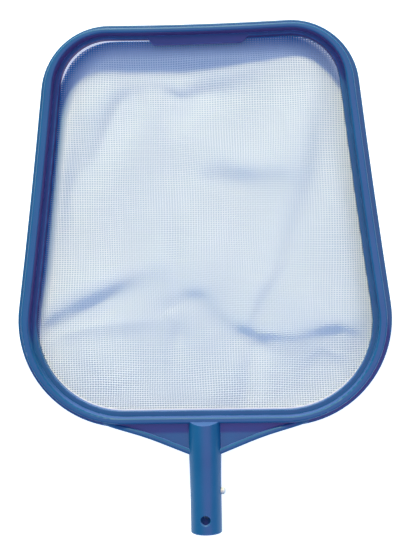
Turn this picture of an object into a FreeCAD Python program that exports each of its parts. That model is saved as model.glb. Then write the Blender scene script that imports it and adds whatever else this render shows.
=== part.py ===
import FreeCAD, Part
import math
import os

import Sketcher

# Leaf skimmer net, lying flat with its net side up.
# +Y points to the leading edge, -Y to the pole, +Z to the front; all sizes are millimetres.
# The origin is the middle of the outline, on the surface that the skimmer lies on.

SIZES = [
    ("hoop_width", 301.0, "widest part of the hoop, near the pole"),
    ("leading_width", 256.6, "width between the outsides of the front corners"),
    ("hoop_length", 324.6, "hoop, leading edge to rear edge"),
    ("tube_reach", 82.8, "tube beyond the rear edge"),
    ("front_corner", 55.3, "radius of the two front corners"),
    ("rear_corner", 86.0, "radius of the two rear corners"),
    ("leading_edge_radius", 2600.0, "the leading edge is drawn in by 1 mm"),
    ("side_edge_radius", 7200.0, "the sides are drawn in by half a millimetre"),
    ("flange_width", 5.1, "low outer flange"),
    ("flange_rear", 4.4, "low outer flange along the rear"),
    ("ridge_side", 6.3, "ridge width along the sides"),
    ("ridge_front", 4.2, "ridge width along the leading edge"),
    ("ridge_rear", 4.9, "ridge width along the rear"),
    ("ledge_side", 4.1, "inner ledge along the sides"),
    ("ledge_front", 2.4, "inner ledge along the leading edge"),
    ("ledge_rear", 4.2, "inner ledge along the rear"),
    ("flange_height", 7.0, "front of the flange"),
    ("ledge_height", 9.6, "front of the ledge"),
    ("ridge_height", 20.0, "front of the ridge"),
    ("ridge_fillet", 1.7, "rounding of the ridge"),
    ("flange_fillet", 1.5, "rounding of the flange"),
    ("ledge_chamfer", 0.5, "broken inner edge of the ledge"),
    ("tab_outer", 84.0, "scraper tab where it leaves the ledge"),
    ("tab_inner", 71.0, "scraper tab at its free edge"),
    ("tab_depth", 6.0, "how far the tab stands in from the ledge"),
    ("tab_plate", 2.4, "thickness of the tab"),
    ("tab_corner", 1.0, "rounding of the tab's left free corner"),
    ("tab_sweep", 6.0, "rounding of its right free corner"),
    ("skirt_wall", 2.2, "wall round the clamp ring"),
    ("ring_plate", 2.0, "thickness of the clamp ring"),
    ("net_layer", 0.4, "thickness of the net, and of the edge binding"),
    ("groove_wall", 1.1, "wall outside the groove, from the ridge's outside"),
    ("groove_width", 2.4, "groove that takes the clamp ring's rib"),
    ("groove_depth", 5.5, "groove, from its mouth"),
    ("fit_gap", 0.3, "clearance between pieces that seat"),
    ("binding_show", 1.2, "binding that shows inside the ledge"),
    ("tube_radius", 12.4, "outside of the tube, where a pole slides over it"),
    ("tube_wall", 2.4, "wall of the tube at its open end"),
    ("tube_lift", 0.1, "lowest line of the tube, above the surface that the skimmer lies on"),
    ("bore_depth", 82.0, "bore, from the open end"),
    ("straight_length", 29.3, "plain end of the tube, before its draft starts"),
    ("draft_length", 40.0, "end of the slight draft, from the open end"),
    ("draft_gain", 0.05, "growth of the radius over the slight draft"),
    ("root_gain", 0.5, "growth of the radius from the open end to the webs"),
    ("root_length", 61.0, "end of the steeper draft, from the open end"),
    ("end_chamfer", 0.7, "broken edge of the tube's open end"),
    ("bevel_run", 2.3, "slope of the tube's upper end, along the tube"),
    ("bevel_foot", 1.2, "foot of that slope, from the ridge's outside"),
    ("pin_hole_radius", 3.8, "hole through both walls of the tube"),
    ("pin_hole_place", 11.6, "centre of that hole, from the open end"),
    ("pin_hole_chamfer", 0.6, "lead-in of that hole"),
    ("web_foot", 25.5, "where the webs' straight edges would meet, below the rear edge"),
    ("web_bend_x", 36.0, "where each web's edge starts to curve"),
    ("web_bend_drop", 11.0, "that place, below the rear edge"),
    ("web_span", 71.0, "where each web's edge crosses the hoop's outside"),
    ("web_rise", 0.1, "that place, above the rear edge"),
    ("web_front", 18.0, "front of the web's edge rib"),
    ("web_back", 3.4, "back of the web's edge rib"),
    ("rib_width", 4.3, "edge rib of the web"),
    ("rib_fillet", 1.9, "rounding of the edge rib, which makes it a bead"),
    ("web_plate_front", 15.3, "front of the recessed plate"),
    ("web_plate", 2.2, "thickness of the recessed plate"),
    ("web_fade", 24.0, "length over which the rib sinks into the flange"),
    ("web_bite", 0.5, "how far the webs run into the ridge"),
    ("clip_strip", 1.4, "thickness of the spring clip"),
    ("clip_width", 7.6, "width of the spring clip"),
    ("clip_reach", 36.8, "snap button to the clip's bend"),
    ("clip_tail", 5.2, "leg beyond the button"),
    ("button_radius", 2.85, "snap button"),
    ("button_proud", 3.4, "snap button, beyond the tube"),
    ("button_crown", 1.2, "slope round the button's tip"),
    ("button_place", 32.9, "snap button, from the open end"),
    ("button_gap", 0.45, "clearance round the snap button"),
    ("net_columns", 11, "gaps across the net"),
    ("net_rows", 12, "gaps along the net"),
    ("net_strand", 2.0, "strand between two gaps"),
]
VALUE = {alias: size for alias, size, _ in SIZES}
SEAM_TURN = 37.5  # degrees; keeps the seam of the tube's surface away from both of its holes

doc = FreeCAD.newDocument("leaf_skimmer")
sheet = doc.addObject("Spreadsheet::Sheet", "Sizes")
for row, (alias, size, note) in enumerate(SIZES, start=1):
    sheet.set(f"A{row}", alias)
    sheet.set(f"B{row}", str(size))
    sheet.set(f"C{row}", note)
    sheet.setAlias(f"B{row}", alias)
doc.recompute()


# A length is written as a list of (factor, alias), so that it gives both a number and a formula.
def number(terms):
    return sum((factor * VALUE[alias] for factor, alias in terms), 0.0)


def formula(terms):
    return " + ".join(f"({factor}) * Sizes.{alias}" for factor, alias in terms) or "0"


def minus(terms):
    return [(-factor, alias) for factor, alias in terms]


FRONT_Y = [(0.5, "hoop_length"), (0.5, "tube_reach")]
REAR_Y = [(-0.5, "hoop_length"), (0.5, "tube_reach")]
END_Y = minus(FRONT_Y)
NOTHING = []
ROOT_RADIUS = [(1.0, "tube_radius"), (1.0, "root_gain")]
TUBE_AXIS = [*ROOT_RADIUS, (1.0, "tube_lift")]
BORE_RADIUS = [(1.0, "tube_radius"), (-1.0, "tube_wall")]


# Bodies, sketches and features
def new_body(name):
    body = doc.addObject("PartDesign::Body", name)
    body.Label = name
    return body


def new_sketch(body, name, plane="XY_Plane", height=None):
    sketch = body.newObject("Sketcher::SketchObject", name)
    support = next(f for f in body.Origin.OriginFeatures if f.Role == plane)
    sketch.AttachmentSupport = [(support, "")]
    sketch.MapMode = "FlatFace"
    if height:
        sketch.setExpression("AttachmentOffset.Base.z", formula(height))
    return sketch


def hold(sketch, name, kind, place, terms):
    index = sketch.addConstraint(Sketcher.Constraint(kind, *place, number(terms)))
    sketch.renameConstraint(index, name)
    sketch.setExpression(f"Constraints.{name}", formula(terms))


def pad(body, sketch, length, name):
    feature = body.newObject("PartDesign::Pad", name)
    feature.Profile = sketch
    feature.setExpression("Length", formula(length))
    doc.recompute()
    return feature


def pocket(body, sketch, name, length=None, reverse=False, midplane=False):
    before = body.Shape.Volume
    feature = body.newObject("PartDesign::Pocket", name)
    feature.Profile = sketch
    feature.Reversed = reverse
    feature.Midplane = midplane
    if length:
        feature.setExpression("Length", formula(length))
    else:
        feature.Type = 1
    doc.recompute()
    if body.Shape.Volume >= before - 1e-3:
        raise RuntimeError(f"{name} cuts nothing")
    return feature


def dress(body, kind, name, size_name, edges):
    base = body.Tip
    feature = body.newObject(f"PartDesign::{kind}", name)
    feature.Base = (base, edges)
    feature.setExpression("Radius" if kind == "Fillet" else "Size", f"Sizes.{size_name}")
    doc.recompute()
    return feature


def edges_where(shape, test):
    return [f"Edge{i}" for i, edge in enumerate(shape.Edges, start=1) if test(edge)]


def at_height(edge, height):
    box = edge.BoundBox
    return abs(box.ZMin - height) < 1e-4 and abs(box.ZMax - height) < 1e-4


# The hoop's outline: straight rear edge, round corners, and sides and front drawn in by large arcs.
# It is set in from the outside by its own amounts along the side, the front and the rear.
def outline_places(side, front, rear):
    return {
        "front_radius": [(1.0, "front_corner"), *minus(side)],
        "rear_radius": [(1.0, "rear_corner"), *minus(side)],
        "edge_radius": [(1.0, "leading_edge_radius"), *front],
        "side_radius": [(1.0, "side_edge_radius"), *side],
        "front_x": [(0.5, "leading_width"), (-1.0, "front_corner")],
        "front_y": [*FRONT_Y, (-1.0, "front_corner"), *side, *minus(front)],
        "rear_x": [(0.5, "hoop_width"), (-1.0, "rear_corner")],
        "rear_y": [*REAR_Y, (1.0, "rear_corner"), *minus(side), *rear],
    }


def outline_edges(side, front, rear):
    place = {key: number(terms) for key, terms in outline_places(side, front, rear).items()}
    front_r, rear_r = place["front_radius"], place["rear_radius"]
    edge_r, side_r = place["edge_radius"], place["side_radius"]
    front_c = FreeCAD.Vector(place["front_x"], place["front_y"])
    rear_c = FreeCAD.Vector(place["rear_x"], place["rear_y"])
    edge_c = FreeCAD.Vector(0, front_c.y + math.sqrt((edge_r + front_r) ** 2 - front_c.x**2))
    # the side arc touches both corners from outside
    apart = front_c - rear_c
    far_rear, far_front = side_r + rear_r, side_r + front_r
    along = (far_rear**2 - far_front**2 + apart.Length**2) / (2 * apart.Length)
    across = math.sqrt(far_rear**2 - along**2)
    unit = FreeCAD.Vector(apart).normalize()
    side_c = rear_c + unit * along + FreeCAD.Vector(unit.y, -unit.x) * across

    def towards(start, end):
        return math.atan2(end.y - start.y, end.x - start.x)

    def mirrored(point):
        return FreeCAD.Vector(-point.x, point.y)

    def arc(centre, radius, start, end):
        circle = Part.Circle(centre, FreeCAD.Vector(0, 0, 1), radius)
        return Part.ArcOfCircle(circle, start, end)

    half_turn = math.pi
    rear_end, front_start = towards(rear_c, side_c), towards(front_c, side_c)
    front_end = towards(front_c, edge_c)
    rear_left = FreeCAD.Vector(-rear_c.x, rear_c.y - rear_r)
    rear_right = FreeCAD.Vector(rear_c.x, rear_c.y - rear_r)
    return [
        Part.LineSegment(rear_left, rear_right),
        arc(rear_c, rear_r, -half_turn / 2, rear_end),
        arc(side_c, side_r, front_start + half_turn, rear_end + half_turn),
        arc(front_c, front_r, front_start, front_end),
        arc(edge_c, edge_r, -front_end, front_end + half_turn),
        arc(mirrored(front_c), front_r, half_turn - front_end, half_turn - front_start),
        arc(mirrored(side_c), side_r, -rear_end, -front_start),
        arc(mirrored(rear_c), rear_r, half_turn - rear_end, 1.5 * half_turn),
    ]


def add_outline(sketch, side, front, rear, name):
    first = sketch.GeometryCount
    sketch.addGeometry(outline_edges(side, front, rear), False)
    line, rear_r, side_r, front_r, edge, front_l, side_l, rear_l = range(first, first + 8)
    start, end, centre = 1, 2, 3
    joints = [
        (line, end, rear_r, start),
        (rear_r, end, side_r, end),
        (side_r, start, front_r, start),
        (front_r, end, edge, end),
        (edge, start, front_l, start),
        (front_l, end, side_l, end),
        (side_l, start, rear_l, start),
        (rear_l, end, line, start),
    ]
    for joint in joints:
        sketch.addConstraint(Sketcher.Constraint("Tangent", *joint))
    for right, left in ((rear_r, rear_l), (front_r, front_l)):
        sketch.addConstraint(Sketcher.Constraint("Symmetric", right, centre, left, centre, -2))
        sketch.addConstraint(Sketcher.Constraint("Equal", right, left))
    sketch.addConstraint(Sketcher.Constraint("Equal", side_r, side_l))
    place = outline_places(side, front, rear)
    hold(sketch, f"{name}_front_r", "Radius", (front_r,), place["front_radius"])
    hold(sketch, f"{name}_rear_r", "Radius", (rear_r,), place["rear_radius"])
    hold(sketch, f"{name}_edge_r", "Radius", (edge,), place["edge_radius"])
    hold(sketch, f"{name}_side_r", "Radius", (side_r,), place["side_radius"])
    hold(sketch, f"{name}_front_x", "DistanceX", (-1, 1, front_r, centre), place["front_x"])
    hold(sketch, f"{name}_front_y", "DistanceY", (-1, 1, front_r, centre), place["front_y"])
    hold(sketch, f"{name}_rear_x", "DistanceX", (-1, 1, rear_r, centre), place["rear_x"])
    hold(sketch, f"{name}_rear_y", "DistanceY", (-1, 1, rear_r, centre), place["rear_y"])


def uniform(*terms):
    return (list(terms), list(terms), list(terms))


FLANGE = {"side": "flange_width", "front": "flange_width", "rear": "flange_rear"}


def level(*names):
    """Insets at the sides, front and rear, each from the sizes of that part of the hoop."""
    return tuple([(1.0, FLANGE[part])] + [(1.0, name.format(part)) for name in names] for part in FLANGE)


def inside(outline, *terms):
    return tuple([*part, *terms] for part in outline)


OUTSIDE = uniform(*NOTHING)
RIDGE_OUT = level()
RIDGE_IN = level("ridge_{}")
OPENING = level("ridge_{}", "ledge_{}")
SEAT = uniform((1.0, "skirt_wall"))
GROOVE_OUT = uniform((1.0, "flange_width"), (1.0, "groove_wall"))
GROOVE_IN = inside(GROOVE_OUT, (1.0, "groove_width"))
RING_OUT = inside(SEAT, (1.0, "fit_gap"))
RIB_OUT = inside(GROOVE_OUT, (1.0, "fit_gap"))
RIB_IN = inside(GROOVE_IN, (-1.0, "fit_gap"))
BINDING_OUT = inside(RIB_IN, (1.0, "fit_gap"))
BINDING_IN = inside(OPENING, (1.0, "binding_show"))
SEAT_HEIGHT = [(1.0, "ring_plate"), (2.0, "net_layer")]


def band_sketch(body, name, outer, inner, height=None):
    sketch = new_sketch(body, name, height=height)
    add_outline(sketch, *outer, "outer")
    if inner:
        add_outline(sketch, *inner, "inner")
    return sketch


def polygon(sketch, points, bent=None):
    """Adds edges through points given as pairs of lengths, each held by its own formula.

    The edge after point number bent is an arc that leaves that point level and falls to the next.
    """
    first = sketch.GeometryCount
    corners = [FreeCAD.Vector(number(x), number(y)) for x, y in points]
    ends = {}
    for i, (a, b) in enumerate(zip(corners, corners[1:] + corners[:1])):
        ends[i] = (1, 2)
        if i != bent:
            sketch.addGeometry(Part.LineSegment(a, b), False)
            continue
        radius = ((b.x - a.x) ** 2 + (b.y - a.y) ** 2) / (2 * (a.y - b.y))
        centre = FreeCAD.Vector(a.x, a.y - radius)
        circle_of_arc = Part.Circle(centre, FreeCAD.Vector(0, 0, 1), radius)
        angles = sorted(math.atan2(p.y - centre.y, p.x - centre.x) for p in (a, b))
        sketch.addGeometry(Part.ArcOfCircle(circle_of_arc, *angles), False)
        if b.x > a.x:
            ends[i] = (2, 1)
    for i, (x, y) in enumerate(points):
        following = (i + 1) % len(points)
        joint = (first + i, ends[i][1], first + following, ends[following][0])
        sketch.addConstraint(Sketcher.Constraint("Coincident", *joint))
        hold(sketch, f"x{first + i}", "DistanceX", (-1, 1, first + i, ends[i][0]), x)
        hold(sketch, f"y{first + i}", "DistanceY", (-1, 1, first + i, ends[i][0]), y)
    if bent is not None:
        hold(sketch, f"arc_x{first}", "DistanceX", (-1, 1, first + bent, 3), points[bent][0])


def circle(sketch, name, radius, x, y):
    centre = FreeCAD.Vector(number(x), number(y))
    index = sketch.addGeometry(Part.Circle(centre, FreeCAD.Vector(0, 0, 1), number(radius)), False)
    hold(sketch, f"{name}_radius", "Radius", (index,), radius)
    hold(sketch, f"{name}_x", "DistanceX", (-1, 1, index, 3), x)
    hold(sketch, f"{name}_y", "DistanceY", (-1, 1, index, 3), y)


# Webs between the hoop and the tube: an edge that runs straight from the tube and then curves
# along the hoop, with a raised rib along it and a recessed plate inside the rib.
WEB_FOOT = (NOTHING, [*REAR_Y, (-1.0, "web_foot")])
WEB_BEND = ([(1.0, "web_bend_x")], [*REAR_Y, (-1.0, "web_bend_drop")])
WEB_MEET = ([(1.0, "web_span")], [*REAR_Y, (1.0, "web_rise")])
WEB_END_X = [(1.0, "web_span"), (0.5, "web_fade")]


def web_edge():
    """The web's edge on the +X side: foot, bend and end of its arc, and the arc's centre and radius."""
    foot, bend, meet = (FreeCAD.Vector(number(x), number(y)) for x, y in (WEB_FOOT, WEB_BEND, WEB_MEET))
    along = (bend - foot).normalize()
    outward = FreeCAD.Vector(along.y, -along.x)
    chord = meet - bend
    radius = chord.Length**2 / (2 * chord.dot(outward))
    return foot, bend, bend + outward * radius, radius, outward


def web_sketch(body, name, inset, top, height, end_x=None):
    """Outline of both webs, inset from their edges, up to a straight top; end_x cuts off its ends."""
    sketch = new_sketch(body, name, height=height)
    foot, bend, centre, radius, outward = web_edge()
    inner = number(inset) if inset else 0
    turn, reach, top_y = bend - outward * inner, radius + inner, number(top)
    slope = math.atan2(bend.y - foot.y, bend.x - foot.x)
    start = FreeCAD.Vector(0, turn.y - turn.x * math.tan(slope))
    if end_x:
        x = number(end_x)
        end = FreeCAD.Vector(x, centre.y + math.sqrt(reach**2 - (x - centre.x) ** 2))
    else:
        end = FreeCAD.Vector(centre.x - math.sqrt(reach**2 - (top_y - centre.y) ** 2), top_y)

    def flip(point):
        return FreeCAD.Vector(-point.x, point.y)

    def rounded(middle, first, last):
        angles = [math.atan2(p.y - middle.y, p.x - middle.x) for p in (first, last)]
        ring = Part.Circle(middle, FreeCAD.Vector(0, 0, 1), reach)
        return Part.ArcOfCircle(ring, *angles)

    right, left = rounded(centre, end, turn), rounded(flip(centre), flip(turn), flip(end))
    curves = [Part.LineSegment(start, turn), right, Part.LineSegment(flip(turn), start), left]
    corners = [FreeCAD.Vector(end.x, top_y), FreeCAD.Vector(-end.x, top_y)]
    curves.append(Part.LineSegment(*corners))
    if end_x:
        curves += [Part.LineSegment(end, corners[0]), Part.LineSegment(corners[1], flip(end))]
    edge = [Part.LineSegment(foot, bend), Part.ArcOfCircle(
        Part.Circle(centre, FreeCAD.Vector(0, 0, 1), radius), *angles_of(centre, WEB_MEET, WEB_BEND))]
    sketch.addGeometry(curves, False)
    first_edge = sketch.GeometryCount
    sketch.addGeometry(edge, True)
    constrain_web(sketch, inset, top, end_x, first_edge, first_edge + 1)
    return sketch


def angles_of(centre, *places):
    points = [(number(x), number(y)) for x, y in places]
    return [math.atan2(y - centre.y, x - centre.x) for x, y in points]


def constrain_web(sketch, inset, top, end_x, edge_line, edge_arc):
    line, arc, left_line, left_arc, top_line, side, left_side = range(7)
    start, end, centre = 1, 2, 3
    rules = [
        ("Tangent", edge_line, end, edge_arc, end),
        ("Coincident", arc, centre, edge_arc, centre),
        ("Parallel", line, edge_line),
        ("Tangent", line, end, arc, end),
        ("Coincident", line, start, left_line, end),
        ("Symmetric", line, end, left_line, start, -2),
        ("Symmetric", arc, centre, left_arc, centre, -2),
        ("Coincident", left_line, start, left_arc, start),
        ("Horizontal", top_line),
    ]
    if end_x:
        rules += [
            ("Coincident", arc, start, side, start),
            ("Coincident", side, end, top_line, start),
            ("Vertical", side),
            ("Coincident", top_line, end, left_side, start),
            ("Coincident", left_side, end, left_arc, end),
            ("Vertical", left_side),
            ("Horizontal", arc, start, left_arc, end),
        ]
    else:
        rules += [("Coincident", arc, start, top_line, start), ("Coincident", top_line, end, left_arc, end)]
    if not inset:
        rules.append(("PointOnObject", line, end, edge_line))
    for rule in rules:
        sketch.addConstraint(Sketcher.Constraint(*rule))
    sketch.addConstraint(Sketcher.Constraint("PointOnObject", line, start, -2))
    for key, point, (x, y) in (("foot", (edge_line, start), WEB_FOOT), ("bend", (edge_line, end), WEB_BEND),
                               ("meet", (edge_arc, start), WEB_MEET)):
        hold(sketch, f"{key}_x", "DistanceX", (-1, 1, *point), x)
        hold(sketch, f"{key}_y", "DistanceY", (-1, 1, *point), y)
    if inset:
        hold(sketch, "inset", "Distance", (line, end, edge_line), inset)
    hold(sketch, "top_y", "DistanceY", (-1, 1, top_line, start), top)
    if end_x:
        hold(sketch, "end_x", "DistanceX", (-1, 1, side, start), end_x)


def make_webs():
    body = new_body("webs")
    in_ridge = [*REAR_Y, (1.0, "flange_rear"), (1.0, "web_bite")]
    web = web_sketch(body, "web_outline", None, in_ridge, [(1.0, "web_back")], WEB_END_X)
    pad(body, web, [(1.0, "web_front"), (-1.0, "web_back")], "web")
    recess = web_sketch(body, "recess_outline", [(1.0, "rib_width")], in_ridge, [(1.0, "web_front")])
    pocket(body, recess, "web_recess", [(1.0, "web_front"), (-1.0, "web_plate_front")])
    hollow = web_sketch(body, "hollow_outline", [(0.5, "rib_width")], REAR_Y, [(1.0, "web_back")])
    depth = [(1.0, "web_plate_front"), (-1.0, "web_plate"), (-1.0, "web_back")]
    pocket(body, hollow, "web_hollow", depth, reverse=True)
    fade_web(body)
    return body


def fade_web(body):
    # the rib slopes down to the flange where it runs along the hoop
    sketch = new_sketch(body, "fade_outline", "XZ_Plane")
    start = [(1.0, "web_span"), (-0.5, "web_fade")]
    beyond = [*WEB_END_X, (1.0, "rib_width")]
    front, high, low = [(1.0, "web_front")], [(1.1, "web_front")], [(1.0, "flange_height")]
    for side in (list, minus):
        polygon(sketch, [(side(start), high), (side(start), front), (side(WEB_END_X), low),
                         (side(beyond), low), (side(beyond), high)], bent=1)
    pocket(body, sketch, "web_fade", midplane=True)
    dress(body, "Fillet", "rib_round", "rib_fillet", edges_where(body.Shape, is_rib_edge))


def is_rib_edge(edge):
    """The front edges along the outside and the inside of the two ribs."""
    foot, bend, centre, radius, outward = web_edge()
    if not at_height(edge, VALUE["web_front"]):
        return False
    middle = edge.valueAt((edge.FirstParameter + edge.LastParameter) / 2)
    across = FreeCAD.Vector(abs(middle.x), middle.y)
    from_line = -(across - foot).dot(outward)
    from_arc = (across - FreeCAD.Vector(centre.x, centre.y)).Length - radius
    on_line = across.x < bend.x
    inset = from_line if on_line else from_arc
    return abs(inset) < 1e-3 or abs(inset - VALUE["rib_width"]) < 1e-3


def make_frame():
    webs = make_webs()
    body = new_body("hoop_frame")
    add_hoop(body)
    joined = body.newObject("PartDesign::Boolean", "with_webs")
    joined.Type = 0
    joined.setObjects([webs])
    doc.recompute()
    add_tube(body)
    add_seat(body)
    cut_tube(body)
    return body


def add_hoop(body):
    flange = band_sketch(body, "flange_outline", OUTSIDE, OPENING)
    pad(body, flange, [(1.0, "flange_height")], "flange")
    outside = edges_where(body.Shape, lambda e: at_height(e, VALUE["flange_height"]) and is_on(e, OUTSIDE))
    dress(body, "Fillet", "flange_round", "flange_fillet", outside)
    ledge = band_sketch(body, "ledge_outline", RIDGE_OUT, OPENING)
    pad(body, ledge, [(1.0, "ledge_height")], "ledge")
    inside_edge = edges_where(body.Shape, lambda e: at_height(e, VALUE["ledge_height"]) and is_on(e, OPENING))
    dress(body, "Chamfer", "ledge_edge", "ledge_chamfer", inside_edge)
    ridge = band_sketch(body, "ridge_outline", RIDGE_OUT, RIDGE_IN)
    pad(body, ridge, [(1.0, "ridge_height")], "ridge")
    top = edges_where(body.Shape, lambda e: at_height(e, VALUE["ridge_height"]))
    dress(body, "Fillet", "ridge_round", "ridge_fillet", top)
    add_tab(body)


def is_on(edge, outline):
    """Whether an edge's middle lies on one of the outline's curves."""
    middle = edge.valueAt((edge.FirstParameter + edge.LastParameter) / 2)
    flat = FreeCAD.Vector(middle.x, middle.y, 0)
    vertex = Part.Vertex(flat)
    return any(vertex.distToShape(c.toShape())[0] < 1e-3 for c in outline_edges(*outline))


def add_tab(body):
    # a thin scraper plate that stands in from the middle of the leading edge
    sketch = new_sketch(body, "tab_outline", height=[(1.0, "ledge_height"), (-1.0, "tab_plate")])
    ledge_y = [*FRONT_Y, (-1.0, "flange_width"), (-1.0, "ridge_front"), (-0.5, "ledge_front")]
    free_y = [*ledge_y, (-0.5, "ledge_front"), (-1.0, "tab_depth")]
    polygon(sketch, [([(-0.5, "tab_outer")], ledge_y), ([(-0.5, "tab_inner")], free_y),
                     ([(0.5, "tab_inner")], free_y), ([(0.5, "tab_outer")], ledge_y)])
    pad(body, sketch, [(1.0, "tab_plate")], "tab")
    free = number(free_y)
    for name, size, way in (("tab_left", "tab_corner", -1), ("tab_right", "tab_sweep", 1)):
        corner = edges_where(body.Shape, lambda e: is_upright(e) and abs(e.BoundBox.YMin - free) < 1e-4
                             and e.BoundBox.Center.x * way > 0)
        dress(body, "Fillet", name, size, corner)


def is_upright(edge):
    box = edge.BoundBox
    return box.XLength < 1e-4 and box.YLength < 1e-4


def revolved_profile(body, name, points):
    """A sketch through the tube's axis, with x as the radius and y along the tube."""
    sketch = new_sketch(body, name)
    turn = FreeCAD.Rotation(FreeCAD.Vector(0, 1, 0), SEAM_TURN)
    sketch.AttachmentOffset = FreeCAD.Placement(FreeCAD.Vector(0, 0, number(TUBE_AXIS)), turn)
    sketch.setExpression("AttachmentOffset.Base.z", formula(TUBE_AXIS))
    polygon(sketch, points)
    return sketch


def from_end(*terms):
    return [*END_Y, *terms]


def add_tube(body):
    upper_end = [*REAR_Y, (1.0, "flange_rear"), (0.5, "ridge_rear")]
    radius = [(1.0, "tube_radius")]
    drafted = [(1.0, "tube_radius"), (1.0, "draft_gain")]
    profile = revolved_profile(body, "tube_profile", [
        (NOTHING, from_end()),
        (radius, from_end()),
        (radius, from_end((1.0, "straight_length"))),
        (drafted, from_end((1.0, "draft_length"))),
        (ROOT_RADIUS, from_end((1.0, "root_length"))),
        (ROOT_RADIUS, upper_end),
        (NOTHING, upper_end),
    ])
    tube = body.newObject("PartDesign::Revolution", "tube")
    tube.Profile = profile
    tube.ReferenceAxis = (profile, ["V_Axis"])
    tube.Angle = 360.0
    doc.recompute()
    # the upper end slopes down to the ridge
    bevel = new_sketch(body, "bevel_outline", "YZ_Plane")
    foot = [*REAR_Y, (1.0, "flange_rear"), (1.0, "bevel_foot")]
    front = [*TUBE_AXIS, *ROOT_RADIUS]
    ridge = [(1.0, "ridge_height")]
    polygon(bevel, [(foot, ridge), ([*foot, (-1.0, "bevel_run")], front),
                    ([*foot, (-1.0, "bevel_run")], [*front, (1.0, "clip_strip")]),
                    ([*foot, (4.0, "ridge_rear")], [*front, (1.0, "clip_strip")]),
                    ([*foot, (4.0, "ridge_rear")], ridge)])
    pocket(body, bevel, "tube_bevel", midplane=True)


def add_seat(body):
    seat = band_sketch(body, "seat_outline", SEAT, None)
    pocket(body, seat, "ring_seat", SEAT_HEIGHT, reverse=True)
    groove = band_sketch(body, "groove_outline", GROOVE_OUT, GROOVE_IN)
    pocket(body, groove, "rib_groove", [*SEAT_HEIGHT, (1.0, "groove_depth")], reverse=True)


def cut_tube(body):
    before = body.Shape.Volume
    profile = revolved_profile(body, "bore_profile", [
        (NOTHING, from_end((-1.0, "end_chamfer"))),
        (BORE_RADIUS, from_end((-1.0, "end_chamfer"))),
        (BORE_RADIUS, from_end((1.0, "bore_depth"))),
        (NOTHING, from_end((1.0, "bore_depth"))),
    ])
    bore = body.newObject("PartDesign::Groove", "bore")
    bore.Profile = profile
    bore.ReferenceAxis = (profile, ["V_Axis"])
    bore.Angle = 360.0
    doc.recompute()
    if body.Shape.Volume >= before:
        raise RuntimeError("the bore cuts nothing")
    rim = edges_where(body.Shape, lambda e: is_end_rim(e))
    dress(body, "Chamfer", "end_edge", "end_chamfer", rim)
    pin = new_sketch(body, "pin_hole_outline")
    circle(pin, "pin", [(1.0, "pin_hole_radius")], NOTHING, from_end((1.0, "pin_hole_place")))
    pocket(body, pin, "pin_hole", midplane=True)
    dress(body, "Chamfer", "pin_lead_in", "pin_hole_chamfer", edges_where(body.Shape, is_pin_rim))
    button = new_sketch(body, "button_hole_outline", "YZ_Plane")
    hole_radius = [(1.0, "button_radius"), (1.0, "button_gap")]
    circle(button, "button", hole_radius, from_end((1.0, "button_place")), TUBE_AXIS)
    pocket(body, button, "button_hole", [*ROOT_RADIUS, (1.0, "button_radius")], reverse=True)


def is_pin_rim(edge):
    """The outer rims of the hole through both walls."""
    box, hole = edge.BoundBox, VALUE["pin_hole_radius"]
    wide = box.XLength > 2 * hole - 1e-2 and box.YLength > 2 * hole - 1e-2
    near = abs(box.Center.y - number(END_Y) - VALUE["pin_hole_place"]) < 1e-2
    outer = VALUE["tube_radius"] - VALUE["tube_wall"] / 2
    return wide and near and abs(box.Center.z - number(TUBE_AXIS)) > outer


def is_end_rim(edge):
    """The outer edge of the tube's open end."""
    box = edge.BoundBox
    at_end = abs(box.YMin - number(END_Y)) < 1e-4 and abs(box.YMax - number(END_Y)) < 1e-4
    return at_end and box.XLength > 2 * VALUE["tube_radius"] - 1e-3


# Clamp ring: a flat ring behind the net, with a rib that snaps into the frame's groove
def make_ring():
    body = new_body("clamp_ring")
    plate = band_sketch(body, "plate_outline", RING_OUT, OPENING)
    pad(body, plate, [(1.0, "ring_plate")], "plate")
    rib = band_sketch(body, "rib_outline", RIB_OUT, RIB_IN)
    height = [*SEAT_HEIGHT, (1.0, "groove_depth"), (-1.0, "fit_gap")]
    pad(body, rib, height, "rib")
    return body


# Edge binding: a flat band sealed over the net's edge and clamped with it
def make_binding():
    body = new_body("edge_binding")
    height = [(1.0, "ring_plate"), (1.0, "net_layer")]
    band = band_sketch(body, "binding_outline", BINDING_OUT, BINDING_IN, height)
    pad(body, band, [(1.0, "net_layer")], "band")
    return body


# Net: one flat face with a grid of gaps, cut off at the binding
def face_of(outline):
    return Part.Face(Part.Wire([curve.toShape() for curve in outline_edges(*outline)]))


def make_net():
    sheet_face, free = face_of(BINDING_OUT), face_of(BINDING_IN)
    box = free.BoundBox
    columns, rows = int(VALUE["net_columns"]), int(VALUE["net_rows"])
    across, along = box.XLength / columns, box.YLength / rows
    strand = VALUE["net_strand"]
    gaps = []
    for i in range(columns):
        for j in range(rows):
            corner = FreeCAD.Vector(box.XMin + i * across + strand / 2, box.YMin + j * along + strand / 2)
            cell = Part.makePlane(across - strand, along - strand, corner)
            inner = cell.common(free)
            if inner.Area > cell.Area / 4:
                gaps += inner.Faces
    net_face = sheet_face.cut(Part.makeCompound(gaps))
    net = doc.addObject("Part::Feature", "net")
    net.Label = "net"
    net.Shape = net_face.Faces[0].extrude(FreeCAD.Vector(0, 0, VALUE["net_layer"]))
    net.Placement = FreeCAD.Placement(FreeCAD.Vector(0, 0, VALUE["ring_plate"]), FreeCAD.Rotation())
    print("gaps in the net:", len(gaps))
    return net


# Spring clip inside the tube: a bend with a fixed leg, and a leg that carries the snap button.
# The button's leg turns about its round end, a fit_gap away from the end of the bend.
CLIP_HINGE_Y = [*END_Y, (1.0, "button_place"), (1.0, "clip_reach")]
CLIP_TAIL_Y = [*END_Y, (1.0, "button_place"), (-1.0, "clip_tail")]


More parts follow.
